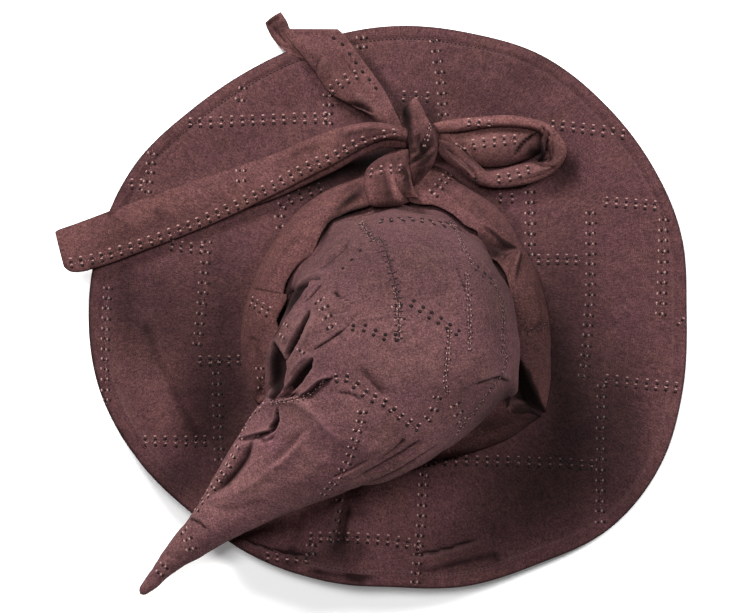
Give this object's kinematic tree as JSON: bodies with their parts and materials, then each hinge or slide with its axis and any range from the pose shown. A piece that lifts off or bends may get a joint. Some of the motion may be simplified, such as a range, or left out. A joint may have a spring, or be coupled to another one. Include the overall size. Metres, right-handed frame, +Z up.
{
  "type": "wizard hat",
  "caption": "Soft suede wizard hat lying on its wide wavy brim, its hollow pointed crown slouched over to one side, with a sash knotted round the foot of the crown.",
  "frame": {"origin": "on the surface that the brim lies on, under the middle of the whole hat with its point and tails", "axes": "+Z up out of the brim; seen from above, the point of the crown droops towards -X -Y and the sash is knotted on the +Y side"},
  "size_m": [0.4642, 0.4253, 0.1333],
  "materials": {
    "brim_suede": "worn brushed suede cloth, matt, purple-brown",
    "crown_suede": "worn brushed suede cloth, matt, purple-brown",
    "sash_suede": "worn brushed suede cloth folded double, matt, reddish brown"
  },
  "bodies": {
    "root": {"brim": "brim_suede", "crown": "crown_suede", "sash_band": "sash_suede", "tail_long": "sash_suede", "tail_short": "sash_suede", "bow_loop": "sash_suede", "knot_leaf": "sash_suede", "knot_wrap": "sash_suede"}
  },
  "joints": []
}
